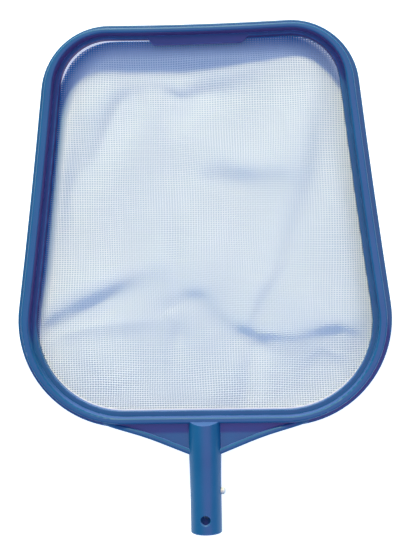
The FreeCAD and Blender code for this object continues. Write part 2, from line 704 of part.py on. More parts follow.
def clip_outside():
    """How far the clip's legs stand from the tube's axis, clear of the bore."""
    half = VALUE["clip_width"] / 2
    return math.sqrt(number(BORE_RADIUS) ** 2 - half**2) - VALUE["fit_gap"]


def strip_pad(body, sketch, name):
    feature = body.newObject("PartDesign::Pad", name)
    feature.Profile = sketch
    feature.Midplane = True
    feature.setExpression("Length", "Sizes.clip_width")
    doc.recompute()


CLIP_OUTSIDE = f"sqrt(({formula(BORE_RADIUS)}) ^ 2 - (Sizes.clip_width / 2) ^ 2) - Sizes.fit_gap"


def make_clip_anchor():
    body = new_body("clip_anchor_leg")
    sketch = new_sketch(body, "anchor_outline", height=TUBE_AXIS)
    outside, strip = clip_outside(), VALUE["clip_strip"]
    inside_x = outside - strip
    hinge_y, tail_y, gap = number(CLIP_HINGE_Y), number(CLIP_TAIL_Y), strip / 2 + VALUE["fit_gap"]
    centre, up = FreeCAD.Vector(0, hinge_y), FreeCAD.Vector(0, 0, 1)
    outer = Part.ArcOfCircle(Part.Circle(centre, up, outside), math.asin(gap / outside), math.pi)
    inner = Part.ArcOfCircle(Part.Circle(centre, up, inside_x), math.asin(gap / inside_x), math.pi)
    foot, heel = FreeCAD.Vector(-outside, tail_y), FreeCAD.Vector(-inside_x, tail_y)
    sketch.addGeometry([outer, inner, Part.LineSegment(outer.EndPoint, foot), Part.LineSegment(foot, heel),
                        Part.LineSegment(heel, inner.EndPoint),
                        Part.LineSegment(inner.StartPoint, outer.StartPoint)], False)
    rules = [
        ("Coincident", 0, 3, 1, 3), ("PointOnObject", 0, 3, -2), ("Tangent", 0, 2, 2, 1),
        ("Coincident", 2, 2, 3, 1), ("Coincident", 3, 2, 4, 1), ("Tangent", 4, 2, 1, 2),
        ("Coincident", 1, 1, 5, 1), ("Coincident", 5, 2, 0, 1), ("Vertical", 2), ("Horizontal", 3),
        ("Horizontal", 5), ("Vertical", 4),
    ]
    for rule in rules:
        sketch.addConstraint(Sketcher.Constraint(*rule))
    hold(sketch, "hinge_y", "DistanceY", (-1, 1, 0, 3), CLIP_HINGE_Y)
    hold(sketch, "tail_y", "DistanceY", (-1, 1, 3, 1), CLIP_TAIL_Y)
    hold(sketch, "strip", "DistanceX", (3, 1, 3, 2), [(1.0, "clip_strip")])
    hold(sketch, "stop", "DistanceY", (0, 3, 0, 1), [(0.5, "clip_strip"), (1.0, "fit_gap")])
    outside_index = sketch.addConstraint(Sketcher.Constraint("Radius", 0, outside))
    sketch.setExpression(f"Constraints[{outside_index}]", CLIP_OUTSIDE)
    strip_pad(body, sketch, "anchor_strip")
    return body


def make_clip_button():
    body = new_body("clip_button_leg")
    sketch = new_sketch(body, "leg_outline", height=TUBE_AXIS)
    outside, strip = clip_outside(), VALUE["clip_strip"]
    hinge_y, tail_y = number(CLIP_HINGE_Y), number(CLIP_TAIL_Y)
    left, right = outside - strip, outside
    knuckle = Part.Circle(FreeCAD.Vector(outside - strip / 2, hinge_y), FreeCAD.Vector(0, 0, 1), strip / 2)
    tail = [FreeCAD.Vector(left, tail_y), FreeCAD.Vector(right, tail_y)]
    sketch.addGeometry([Part.ArcOfCircle(knuckle, 0, math.pi),
                        Part.LineSegment(FreeCAD.Vector(left, hinge_y), tail[0]), Part.LineSegment(*tail),
                        Part.LineSegment(tail[1], FreeCAD.Vector(right, hinge_y))], False)
    rules = [
        ("Tangent", 0, 2, 1, 1), ("Coincident", 1, 2, 2, 1), ("Coincident", 2, 2, 3, 1),
        ("Tangent", 3, 2, 0, 1), ("Vertical", 1), ("Vertical", 3), ("Horizontal", 2),
    ]
    for rule in rules:
        sketch.addConstraint(Sketcher.Constraint(*rule))
    hold(sketch, "hinge_y", "DistanceY", (-1, 1, 0, 3), CLIP_HINGE_Y)
    hold(sketch, "tail_y", "DistanceY", (-1, 1, 2, 1), CLIP_TAIL_Y)
    hold(sketch, "strip", "DistanceX", (2, 1, 2, 2), [(1.0, "clip_strip")])
    place = sketch.addConstraint(Sketcher.Constraint("DistanceX", -1, 1, 2, 2, outside))
    sketch.setExpression(f"Constraints[{place}]", CLIP_OUTSIDE)
    strip_pad(body, sketch, "leg_strip")
    add_button(body)
    return body


def add_button(body):
    sketch = new_sketch(body, "button_outline", "YZ_Plane")
    circle(sketch, "button", [(1.0, "button_radius")], from_end((1.0, "button_place")), TUBE_AXIS)
    sketch.setExpression("AttachmentOffset.Base.z", f"{CLIP_OUTSIDE} - Sizes.clip_strip / 2")
    peg = body.newObject("PartDesign::Pad", "button")
    peg.Profile = sketch
    tip = "Sizes.tube_radius + Sizes.button_proud"
    peg.setExpression("Length", f"{tip} - ({CLIP_OUTSIDE} - Sizes.clip_strip / 2)")
    doc.recompute()
    tip_x = VALUE["tube_radius"] + VALUE["button_proud"]
    rim = edges_where(body.Shape, lambda e: abs(e.BoundBox.XMin - tip_x) < 1e-4)
    dress(body, "Chamfer", "button_slope", "button_crown", rim)


def check_and_write(parts):
    for item in doc.Objects:
        if "Invalid" in item.State or "Error" in item.State:
            raise RuntimeError(f"{item.Name} failed: {item.State}")
    os.makedirs("parts", exist_ok=True)
    for part in parts:
        shape = part.Shape
        if shape.isNull() or not shape.isValid() or not shape.Solids:
            raise RuntimeError(f"{part.Label} has no valid solid")
        shape.exportStep(f"parts/{part.Label}.step")
        box = shape.BoundBox
        print(part.Label, len(shape.Solids), "solid,", round(shape.Volume / 1000, 2), "cm3,",
              [round(v, 2) for v in (box.XMin, box.YMin, box.ZMin, box.XMax, box.YMax, box.ZMax)])


doc.recompute()
nodes = [make_frame(), make_ring(), make_net(), make_binding(), make_clip_anchor(), make_clip_button()]
doc.recompute()
check_and_write(nodes)
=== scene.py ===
import math

import bmesh
import bpy
from mathutils import Matrix, Vector
from mathutils.kdtree import KDTree


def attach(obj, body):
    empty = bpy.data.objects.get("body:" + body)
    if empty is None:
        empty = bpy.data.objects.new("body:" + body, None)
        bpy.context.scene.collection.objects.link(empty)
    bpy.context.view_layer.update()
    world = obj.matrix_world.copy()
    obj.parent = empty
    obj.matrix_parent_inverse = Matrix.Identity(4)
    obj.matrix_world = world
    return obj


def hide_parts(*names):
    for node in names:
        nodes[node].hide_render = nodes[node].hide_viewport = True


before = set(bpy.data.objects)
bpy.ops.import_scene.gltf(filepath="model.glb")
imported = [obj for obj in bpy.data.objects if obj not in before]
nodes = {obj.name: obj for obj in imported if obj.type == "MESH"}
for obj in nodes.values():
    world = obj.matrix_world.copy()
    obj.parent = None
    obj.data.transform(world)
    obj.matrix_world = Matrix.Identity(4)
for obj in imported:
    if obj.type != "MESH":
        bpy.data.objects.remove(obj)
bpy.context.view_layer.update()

MM = 0.001

# lengths are in millimetres, apart from places in materials, which are in metres
# the hoop's outline, as the frame has it
HOOP_WIDTH = 301.0
LEADING_WIDTH = 256.6
FRONT_Y = 203.7
REAR_Y = -120.9
FRONT_CORNER = 55.3
REAR_CORNER = 86.0
LEADING_EDGE_RADIUS = 2600.0
SIDE_EDGE_RADIUS = 7200.0

# insets from the outline at the sides, front and rear
NET_EDGE = (8.6, 8.6, 8.6)
OPENING = (15.5, 11.7, 13.5)
NET_STEP = 1.5
TAPE_STEP = 0.8

# the weave: its pitches, the flat width of a thread, how far its middle stands up, and how
# far it rises over and sinks under its neighbours
WARP_PITCH = 2.05
WEFT_PITCH = 1.75
THREAD_WIDTH = 0.80
THREAD_CROWN = 0.13
WEAVE_RISE = 0.10
SHORTEST_THREAD = 3
# how far the slack lets the weave wander, and the slow waves of it across and along
WANDER = 0.8
WANDER_ACROSS = (17, 1.6, 29)
WANDER_ALONG = (13, 1.9, 23)

# the tape: its height, its thickness, and its faces along and across
TAPE_BOTTOM = 2.42
TAPE_THICKNESS = 0.32
TAPE_STEPS = 900
TAPE_ACROSS = 6
TAPE_LIFT = 0.02
TAPE_JOIN = 0.02
FACE_ORDER = Vector((1.0, 3.0, 9.0))
# what the sealing bar leaves: a toothed edge, and crimps that are shallower at every other step
TAPE_TOOTH = 0.12
CRIMP_RISE = 0.05
CRIMP_SHALLOW = 0.4
# how far the tape's edge lies behind the ledge's, how much more of it shows along the front
# left, and how much more still round the corner, with the places where each sets in
TAPE_HIDDEN = 0.8
TAPE_PEEP = 1.3
PEEP_ALONG = (150, 170)
PEEP_ACROSS = (-30, -38)
TAPE_CORNER_PEEP = 1.2
CORNER_ALONG = (150, 175)
CORNER_ACROSS = (-60, -90)

# creases of the slack net: along each line its places and how steep it is there, and how far
# it reaches on its high side, which is on the left of the line, and on its low side
CREASES = (
    (((-132, -37, 0.41), (-112, -26, 0.34), (-97, -20, 0.46), (-84, -14, 0.48), (-70, -7, 0.36),
      (-56, -2, 0.21), (-38, 3, 0.15), (-19, 1, 0.08)), 10.0, 10.0),
    (((-20, -16, 0.18), (-12, -14, 0.28), (-3, -14, 0.28), (3, -18, 0.26), (9, -27, 0.18),
      (18, -35, 0.18), (30, -41, 0.14)), 9.0, 8.0),
    (((40, -41, 0.24), (43, -31, 0.34), (47, -18, 0.44), (55, -8, 0.18),
      (64, 4, 0.10)), 8.0, 4.0),
    (((34, -43, 0.24), (44, -48, 0.38), (53, -49, 0.31), (63, -50, 0.20), (75, -50, 0.17),
      (86, -47, 0.20), (98, -44, 0.30), (108, -43, 0.30), (116, -45, 0.22),
      (128, -48, 0.10)), 6.5, 9.0),
    (((-128, -53, 0.17), (-110, -46, 0.14), (-92, -42, 0.20), (-76, -39, 0.20), (-58, -38, 0.19),
      (-41, -36, 0.12)), 2.4, 10.0),
    (((5, 84, 0.14), (20, 86, 0.22), (34, 82, 0.34), (46, 80, 0.22), (63, 80, 0.18),
      (80, 75, 0.09)), 10.0, 10.0),
    (((60, -4, 0.14), (65, 25, 0.26), (73, 47, 0.26), (82, 68, 0.30), (88, 91, 0.36),
      (91, 112, 0.36), (94, 141, 0.20), (94, 160, 0.10)), 13.0, 9.0),
    (((-95, 84, 0.14), (-84, 108, 0.26), (-76, 130, 0.30), (-69, 144, 0.30),
      (-62, 152, 0.12)), 12.0, 12.0),
    (((-60, 150, 0.10), (-43, 154, 0.20), (-28, 153, 0.26), (-15, 147, 0.32), (1, 153, 0.28),
      (20, 156, 0.28), (42, 160, 0.18)), 7.0, 11.0),
    (((81, -70, 0.15), (88, -64, 0.24), (95, -61, 0.22), (104, -65, 0.25)), 2.4, 6.0),
    (((28, -104, 0.16), (32, -77, 0.26), (37, -60, 0.16)), 9.0, 10.0),
    (((-21, -25, 0.16), (-28, -28, 0.35), (-33, -31, 0.14)), 4.3, 2.4),
    (((-28, -62, 0.28), (-29, -49, 0.40), (-27, -35, 0.12)), 2.6, 8.0),
    (((-22, -13, 0.24), (-23, 6, 0.40), (-26, 41, 0.36), (-30, 73, 0.10), (-27, 98, 0.10),
      (-26, 143, 0.30)), 9.0, 4.5),
    (((-114, 18, 0.00), (-110, 71, 0.48), (-104, 124, 0.27)), 10.0, 10.0),
)
CREASE_STRENGTH = 1.45
CREASE_END = 8.0
# broad hollows and swells of the net: place, height and reach across and along
SWELLS = (
    (-60, 50, -1.8, 35, 35), (50, 45, -1.8, 25, 32), (-70, -70, -1.5, 40, 22),
    (75, -20, 1.6, 28, 20), (12, -72, -1.4, 18, 22), (-12, 100, -2.4, 25, 40),
    (85, -85, -1.0, 28, 18), (0, 15, 3.8, 25, 35), (-60, 120, -1.3, 30, 30),
    (-25, 168, -2.0, 60, 24),
)
# the clamped net's height, how far the slack middle stands above it, the broad swell that
# lifts it along the right side, and the height below which folds level out
NET_HEIGHT = 2.1
NET_REST = 1.6
SIDE_SWELL = 5.0
LOW_NET = 1.2
# where each of them, and the weave's wander, sets in and is full: along the net, across it,
# or in from its edge; nearer the edge than the last one there is no thread
REST_ALONG = (-120, -10)
SLACK_DEPTH = (5.5, 18.5)
SIDE_ACROSS = (5, 100)
SIDE_ALONG = (-82, -24)
SIDE_DEPTH = (6, 26)
WANDER_DEPTH = (4, 24)
EDGE_DEPTH = 0.4

# the middle line of the hoop's rim in metres: the right side's distance and the way that it
# faces, the front and rear, and the corners' radii at the rear and front
RIM_SIDE = 0.134
RIM_SIDE_FACES = (0.992, 0.123)
RIM_FRONT = 0.196
RIM_REAR = -0.113
RIM_CORNERS = (0.075, 0.047)
HOOP_MIDDLE = (0.0, 0.04, 0.0)
# the tube's footprint, where the floor is painted dark as shade under the tube
TUBE_HALF_WIDTH = 0.009
TUBE_Y = (-0.200, -0.100)
# roughly the level direction to the main light
FORWARD = (-0.12, 0.87, 0.0)
# where painted shade from the rim darkens the net to deep blue: from here on, and this far at
# the side and front
RIM_SHADE_START = 0.0045
RIM_SHADE_REACH = (-0.0130, -0.0200)

# the width of the paler edges, and how strongly they show: partly rubbed wear, partly a painted
# highlight along the frame's crests
EDGE_WIDTH = 0.6
EDGE_WEAR_AND_HIGHLIGHT = 0.85
BLACK = (0, 0, 0, 1)
WHITE = (1, 1, 1, 1)


def arc_points(centre, radius, start, end, step):
    """Points along an arc, with the direction that leads into the hoop at each."""
    count = max(2, round(abs(end - start) * radius / step))
    bulges = end > start
    points = []
    for i in range(count):
        angle = start + (end - start) * i / count
        out = Vector((math.cos(angle), math.sin(angle)))
        points.append((centre + out * radius, -out if bulges else out))
    return points


def heading(start, end):
    return math.atan2(end.y - start.y, end.x - start.x)


def hoop_outline(inset, step):
    """The hoop's outline, anticlockwise from the rear, with the direction inward at each point.

    It is set in by its own amount at the sides, front and rear.
    """
    side, front, rear = inset
    front_radius = FRONT_CORNER - side
    rear_radius = REAR_CORNER - side
    edge_radius = LEADING_EDGE_RADIUS + front
    side_radius = SIDE_EDGE_RADIUS + side
    front_centre = Vector(
        (LEADING_WIDTH / 2 - FRONT_CORNER, FRONT_Y - FRONT_CORNER + side - front)
    )
    rear_centre = Vector((HOOP_WIDTH / 2 - REAR_CORNER, REAR_Y + REAR_CORNER - side + rear))
    rise = math.sqrt((edge_radius + front_radius) ** 2 - front_centre.x**2)
    edge_centre = Vector((0, front_centre.y + rise))
    apart = front_centre - rear_centre
    far_rear, far_front = side_radius + rear_radius, side_radius + front_radius
    along = (far_rear**2 - far_front**2 + apart.length_squared) / (2 * apart.length)
    across = math.sqrt(far_rear**2 - along**2)
    unit = apart.normalized()
    side_centre = rear_centre + unit * along + Vector((unit.y, -unit.x)) * across

    rear_end = heading(rear_centre, side_centre)
    front_start = heading(front_centre, side_centre)
    front_end = heading(front_centre, edge_centre)
    turn = math.pi
    right = arc_points(rear_centre, rear_radius, -turn / 2, rear_end, step)
    right += arc_points(side_centre, side_radius, rear_end + turn, front_start + turn, step)
    right += arc_points(front_centre, front_radius, front_start, front_end, step)
    lead = arc_points(edge_centre, edge_radius, front_end + turn, 2 * turn - front_end, step)
    left = [(Vector((-p.x, p.y)), Vector((-n.x, n.y))) for p, n in reversed(right)]
    bottom_left, bottom_right = left[-1][0], right[0][0]
    count = round((bottom_right - bottom_left).length / step)
    rear_line = [
        (bottom_left.lerp(bottom_right, i / count), Vector((0, 1))) for i in range(1, count)
    ]
    return right + lead + left + rear_line


def nearest_on(outline):
    """A search tree over an outline's points."""
    tree = KDTree(len(outline))
    for i, (point, inward) in enumerate(outline):
        tree.insert((point.x, point.y, 0), i)
    tree.balance()
    return tree


def depth_inside(x, y, outline, tree):
    """How far a place lies inside an outline, negative outside it."""
    point, inward = outline[tree.find((x, y, 0))[1]]
    return (Vector((x, y)) - point).dot(inward)


def ramp(value, start, end):
    """Goes smoothly from 0 at the start to 1 at the end, and stays level beyond both."""
    share = min(max((value - start) / (end - start), 0.0), 1.0)
    return share * share * (3 - 2 * share)


def curved(places):
    """A crease's places joined by a smooth curve, in runs of a third of their spacing."""
    places = [Vector(place) for place in places]
    ends = [places[0] * 2 - places[1], *places, places[-1] * 2 - places[-2]]
    line = []
    for a, b, c, d in zip(ends, ends[1:], ends[2:], ends[3:]):
        for i in range(3):
            t = i / 3
            line.append(0.5 * (b * 2 + (c - a) * t + (a * 2 - b * 5 + c * 4 - d) * t**2
                               + (b * 3 - a - c * 3 + d) * t**3))
    line.append(places[-1])
    return line


class Crease:
    """A crease of the net: a steep line that falls away on both sides."""

    def __init__(self, places, high, low):
        self.high, self.low = high, low
        line = curved(places)
        self.runs = []
        for i, (start, end) in enumerate(zip(line, line[1:])):
            run = Vector((end.x - start.x, end.y - start.y))
            ends = i == 0, i == len(line) - 2
            self.runs.append(
                (start.x, start.y, run.x, run.y, run.length_squared, start.z, end.z, *ends)
            )
        margin = 3 * max(high, low)
        self.left = min(place.x for place in line) - margin
        self.right = max(place.x for place in line) + margin
        self.near = min(place.y for place in line) - margin
        self.far = max(place.y for place in line) + margin

    def height(self, x, y):
        """What the crease adds to the net's height at a place."""
        if not (self.left < x < self.right and self.near < y < self.far):
            return 0.0
        best, slope, beyond = 1e9, 0.0, 0.0
        for ax, ay, rx, ry, squared, steep_a, steep_b, first, last in self.runs:
            share = ((x - ax) * rx + (y - ay) * ry) / squared
            inside = min(max(share, 0.0), 1.0)
            if (share < 0 and first) or (share > 1 and last):
                foot = share
            else:
                foot = inside
            gap = math.hypot(x - ax - rx * foot, y - ay - ry * foot)
            if gap < abs(best):
                best = gap if rx * (y - ay) - ry * (x - ax) >= 0 else -gap
                slope = steep_a + (steep_b - steep_a) * inside
                beyond = abs(foot - inside) * math.sqrt(squared)
        reach = self.high if best > 0 else self.low
        fade = math.exp(-((beyond / CREASE_END) ** 2) - (abs(best) / reach) ** 1.5 / 1.5)
        return slope * fade * best


creases = [Crease(*crease) for crease in CREASES]


def net_height(x, y, depth):
    """Height of the net's middle: flat where it is clamped, slack and creased inside."""
    height = NET_REST * ramp(y, *REST_ALONG)
    height += CREASE_STRENGTH * sum(crease.height(x, y) for crease in creases)
    for middle_x, middle_y, rise, across, along in SWELLS:
        fall_x, fall_y = (x - middle_x) / across, (y - middle_y) / along
        height += rise * math.exp(-(fall_x**2) - fall_y**2)
    side = SIDE_SWELL * ramp(x, *SIDE_ACROSS) * ramp(depth, *SIDE_DEPTH) * ramp(y, *SIDE_ALONG)
    height = NET_HEIGHT + ramp(depth, *SLACK_DEPTH) * height + side
    if height > LOW_NET:
        return height
    return LOW_NET * math.exp((height - LOW_NET) / (2 * LOW_NET))


def crossing(column, row, depth):
    """Where a warp and a weft thread cross: the slack lets the weave wander a little."""
    x, y = column * WARP_PITCH, row * WEFT_PITCH
    slack = WANDER * ramp(depth, *WANDER_DEPTH)
    length_x, sway_x, bend_x = WANDER_ACROSS
    length_y, sway_y, bend_y = WANDER_ALONG
    return (
        x + slack * math.sin(x / length_x + sway_x * math.sin(y / bend_x)),
        y + slack * math.sin(y / length_y + sway_y * math.sin(x / bend_y)),
    )


def new_object(name, mesh_edit):
    """An object at the origin with the edited mesh."""
    mesh = bpy.data.meshes.new(name)
    mesh_edit.to_mesh(mesh)
    mesh_edit.free()
    piece = bpy.data.objects.new(name, mesh)
    bpy.context.scene.collection.objects.link(piece)
    return piece


def spans(places):
    """The unbroken runs in a rising row of whole numbers, as first and last."""
    runs = []
    for place in places:
        if runs and place == runs[-1][1] + 1:
            runs[-1][1] = place
        else:
            runs.append([place, place])
    return [run for run in runs if run[1] - run[0] >= SHORTEST_THREAD]


def lay_thread(weave, along_y, index, first, last, crossings):
    """One thread from its first crossing to its last: a ribbon folded like a low roof."""
    span = last - first
    made = bmesh.ops.create_grid(weave, x_segments=2, y_segments=span, size=1.0)
    for vertex in made["verts"]:
        step = first + round((vertex.co.y + 1) / 2 * span)
        side = vertex.co.x * THREAD_WIDTH / 2
        column, row = (index, step) if along_y else (step, index)
        over = 1 if (column + row) % 2 == (0 if along_y else 1) else -1
        x, y, height = crossings[column, row]
        height += over * WEAVE_RISE
        if abs(side) < THREAD_WIDTH / 4:
            height += THREAD_CROWN
        if along_y:
            vertex.co = Vector((x + side, y, height)) * MM
        else:
            vertex.co = Vector((x, y - side, height)) * MM


def make_net():
    """The woven net, each thread passing over and under its neighbours, with its flat size."""
    outline = hoop_outline(NET_EDGE, NET_STEP)
    tree = nearest_on(outline)
    xs = [p.x for p, n in outline]
    ys = [p.y for p, n in outline]
    columns = range(math.ceil(min(xs) / WARP_PITCH), math.floor(max(xs) / WARP_PITCH) + 1)
    rows = range(math.ceil(min(ys) / WEFT_PITCH), math.floor(max(ys) / WEFT_PITCH) + 1)
    crossings = {}
    for column in columns:
        for row in rows:
            depth = depth_inside(column * WARP_PITCH, row * WEFT_PITCH, outline, tree)
            if depth > EDGE_DEPTH:
                x, y = crossing(column, row, depth)
                crossings[column, row] = x, y, net_height(x, y, depth)
    weave = bmesh.new()
    for column in columns:
        for first, last in spans(row for row in rows if (column, row) in crossings):
            lay_thread(weave, True, column, first, last, crossings)
    for row in rows:
        for first, last in spans(column for column in columns if (column, row) in crossings):
            lay_thread(weave, False, row, first, last, crossings)
    cut_area = len(crossings) * WARP_PITCH * WEFT_PITCH
    size = (max(xs) - min(xs), max(ys) - min(ys))
    return new_object("woven_net", weave), size, cut_area


def tape_width(place, inward):
    """The tape's width: it peeps out from under the ledge at the front left corner only."""
    turned = ramp(place.y, *CORNER_ALONG) * ramp(place.x, *CORNER_ACROSS)
    peeping = ramp(place.y, *PEEP_ALONG) * ramp(place.x, *PEEP_ACROSS)
    ledge = OPENING[0] + (OPENING[1] - OPENING[0]) * max(-inward.y, 0) - NET_EDGE[0]
    return ledge - TAPE_HIDDEN + TAPE_PEEP * peeping + TAPE_CORNER_PEEP * turned


def make_tape():
    """The heat-sealed tape round the net's edge: a crimped strip laid round the hoop."""
    outer = hoop_outline(NET_EDGE, TAPE_STEP)
    strip = bmesh.new()
    bmesh.ops.create_grid(strip, x_segments=TAPE_STEPS, y_segments=TAPE_ACROSS, size=1.0)
    for vertex in strip.verts:
        round_trip = (vertex.co.x + 1) / 2
        across = (vertex.co.y + 1) / 2
        place = round_trip * len(outer)
        index = int(place) % len(outer)
        point, inward = outer[index]
        following, onward = outer[(index + 1) % len(outer)]
        here = point.lerp(following, place - int(place))
        lean = inward.lerp(onward, place - int(place)).normalized()
        odd = round(round_trip * TAPE_STEPS) % 2
        width = tape_width(here, lean) + (TAPE_TOOTH if odd else -TAPE_TOOTH)
        crimp = CRIMP_RISE * math.sin(across * TAPE_ACROSS * math.pi)
        crimp = abs(crimp) * (CRIMP_SHALLOW if odd else 1)
        spot = here + lean * (across * width)
        vertex.co = Vector((spot.x, spot.y, TAPE_BOTTOM + TAPE_LIFT + crimp)) * MM
    bmesh.ops.remove_doubles(strip, verts=strip.verts, dist=TAPE_JOIN * MM)
    bmesh.ops.recalc_face_normals(strip, faces=strip.faces)
    if sum(face.normal.z for face in strip.faces) < 0:
        bmesh.ops.reverse_faces(strip, faces=strip.faces)
    bmesh.ops.solidify(strip, geom=strip.faces[:], thickness=-TAPE_THICKNESS * MM)
    # solidify adds the faces of the sides in another order each run, so they are all put in one
    strip.faces.sort(key=lambda face: face.calc_center_median().dot(FACE_ORDER))
    return new_object("sealed_tape", strip)


def new_tree(name):
    """A material whose only nodes are a Principled shader and its output."""
    material = bpy.data.materials.new(name)
    material.use_nodes = True
    tree = material.node_tree
    tree.nodes.clear()
    output = tree.nodes.new("ShaderNodeOutputMaterial")
    shader = tree.nodes.new("ShaderNodeBsdfPrincipled")
    tree.links.new(shader.outputs["BSDF"], output.inputs["Surface"])
    return material, tree, shader


def node(tree, kind, values=(), **settings):
    """A new node, with a constant or a link on each of the sockets named."""
    made = tree.nodes.new("ShaderNode" + kind)
    for name, value in settings.items():
        setattr(made, name, value)
    for socket, value in dict(values).items():
        if isinstance(value, bpy.types.NodeSocket):
            tree.links.new(value, made.inputs[socket])
        else:
            made.inputs[socket].default_value = value
    return made


def maths(tree, operation, *values):
    return node(tree, "Math", enumerate(values), operation=operation).outputs[0]


def dot(tree, first, second):
    made = node(tree, "VectorMath", {0: first, 1: second}, operation="DOT_PRODUCT")
    return made.outputs["Value"]


def spread(tree, value, low, high, to_low=0.0, to_high=1.0):
    """Maps a range of a value onto another, clamped."""
    made = node(tree, "MapRange", {0: value, 1: low, 2: high, 3: to_low, 4: to_high})
    return made.outputs[0]


def mixed(tree, share, first, second):
    """Two colours mixed: the second where the share is 1."""
    return node(tree, "Mix", {0: share, 6: first, 7: second}, data_type="RGBA").outputs[2]


def noise(tree, place, scale, detail):
    made = node(tree, "TexNoise", {"Vector": place, "Scale": scale, "Detail": detail})
    return made.outputs[0]


def new_group(name, inputs, outputs):
    """A node group with its inputs and outputs, and the nodes that stand for them inside."""
    group = bpy.data.node_groups.new(name, "ShaderNodeTree")
    for label, kind, value in inputs:
        socket = group.interface.new_socket(label, in_out="INPUT", socket_type=kind)
        socket.default_value = value
    for label, kind in outputs:
        group.interface.new_socket(label, in_out="OUTPUT", socket_type=kind)
    taken = group.nodes.new("NodeGroupInput")
    given = group.nodes.new("NodeGroupOutput")
    return group, taken, given


def make_grain_group():
    """Moulded plastic: a fine grain, slow flow shading and uneven gloss."""
    number = "NodeSocketFloat"
    group, taken, given = new_group(
        "moulded_grain",
        [("Grain Size", number, 0.5), ("Grain Depth", number, 0.02), ("Gloss", number, 0.35)],
        [("Shade", number), ("Roughness", number), ("Normal", "NodeSocketVector")],
    )
    place = node(group, "TexCoord").outputs["Object"]
    per_metre = maths(group, "DIVIDE", 1 / MM, taken.outputs["Grain Size"])
    fine = noise(group, place, per_metre, 3.0)
    flow = noise(group, place, 14.0, 2.0)
    cloud = noise(group, place, 60.0, 4.0)
    shade = maths(group, "MULTIPLY", flow, 0.6)
    shade = maths(group, "MULTIPLY_ADD", cloud, 0.4, shade)
    rough = spread(group, cloud, 0.35, 0.65, -0.03, 0.05)
    rough = maths(group, "ADD", taken.outputs["Gloss"], rough)
    depth = maths(group, "MULTIPLY", taken.outputs["Grain Depth"], MM)
    bump = node(group, "Bump", {"Strength": 1.0, "Distance": depth, "Height": fine})
    group.links.new(shade, given.inputs["Shade"])
    group.links.new(rough, given.inputs["Roughness"])
    group.links.new(bump.outputs[0], given.inputs["Normal"])
    return group


def make_wear_and_highlight_group():
    """Edges painted paler, partly as rubbed wear and partly as a painted highlight along the
    crests, broken up so that no edge is evenly marked.
    """
    number = "NodeSocketFloat"
    group, taken, given = new_group(
        "worn_and_highlit_edges",
        [("Edge Width", number, 0.7), ("Amount", number, 0.5)],
        [("Wear And Highlight", number)],
    )
    width = maths(group, "MULTIPLY", taken.outputs["Edge Width"], MM)
    rounded = node(group, "Bevel", {"Radius": width}, samples=6).outputs[0]
    true = node(group, "NewGeometry").outputs["Normal"]
    edge = spread(group, dot(group, rounded, true), 0.99, 0.85)
    place = node(group, "TexCoord").outputs["Object"]
    patch = spread(group, noise(group, place, 160.0, 5.0), 0.42, 0.62)
    wear_and_highlight = maths(group, "MULTIPLY", edge, patch)
    wear_and_highlight = maths(group, "MULTIPLY", wear_and_highlight, taken.outputs["Amount"])
    group.links.new(wear_and_highlight, given.inputs["Wear And Highlight"])
    return group


def wall_shade_and_light_masks(tree):
    """Masks for painted shade and light on steep faces: the hoop's inner front and left walls,
    turned from the main light, and those facing towards it.
    """
    normal = node(tree, "NewGeometry").outputs["Normal"]
    place = node(tree, "TexCoord").outputs["Object"]
    upward = node(tree, "SeparateXYZ", {0: normal}).outputs[2]
    steep = spread(tree, upward, 0.75, 0.25)
    forward = dot(tree, normal, FORWARD)
    level = node(tree, "VectorMath", {0: normal, 1: (1, 1, 0)}, operation="MULTIPLY")
    from_middle = node(tree, "VectorMath", {0: place, 1: HOOP_MIDDLE}, operation="SUBTRACT")
    outward = dot(tree, level.outputs[0], from_middle.outputs[0])
    inner = maths(
        tree, "MULTIPLY", spread(tree, forward, 0.05, -0.22), spread(tree, outward, -0.02, -0.06)
    )
    forward = spread(tree, forward, 0.2, 0.7)
    return maths(tree, "MULTIPLY", steep, inner), maths(tree, "MULTIPLY", steep, forward)


def plastic(
    name, deep, pale, edge_wear_and_highlight, gloss, grain_size, grain_depth, specular=0.5, wall_shade_and_light=(), milky=False
):
    """Moulded plastic between two shades, paler at its edges from rubbed wear and a painted
    highlight, with painted shade and light on its walls.
    """
    material, tree, shader = new_tree(name)
    surface = node(tree, "Group", node_tree=moulded_grain)
    surface.inputs["Grain Size"].default_value = grain_size
    surface.inputs["Grain Depth"].default_value = grain_depth
    surface.inputs["Gloss"].default_value = gloss
    rubbed_and_highlit = node(tree, "Group", node_tree=worn_and_highlit_edges)
    rubbed_and_highlit.inputs["Edge Width"].default_value = EDGE_WIDTH
    rubbed_and_highlit.inputs["Amount"].default_value = EDGE_WEAR_AND_HIGHLIGHT
    shade = spread(tree, surface.outputs["Shade"], 0.35, 0.65)
    colour = mixed(tree, shade, deep, pale)
    if wall_shade_and_light:
        # painted shade: the inner walls, turned from the main light, more violet than the level
        # faces; painted light: the faces that look forward, towards it, paler
        for mask, tint in zip(wall_shade_and_light_masks(tree), wall_shade_and_light):
            colour = mixed(tree, mask, colour, tint)
    # paler edges: rubbed wear and a painted highlight
    colour = mixed(tree, rubbed_and_highlit.outputs["Wear And Highlight"], colour, edge_wear_and_highlight)
    tree.links.new(colour, shader.inputs["Base Color"])
    tree.links.new(surface.outputs["Roughness"], shader.inputs["Roughness"])
    tree.links.new(surface.outputs["Normal"], shader.inputs["Normal"])
    shader.inputs["Specular IOR Level"].default_value = specular
    if milky:
        shader.inputs["Subsurface Weight"].default_value = 1.0
        shader.inputs["Subsurface Radius"].default_value = (1.0, 1.0, 1.0)
        shader.inputs["Subsurface Scale"].default_value = 3 * MM
    return material


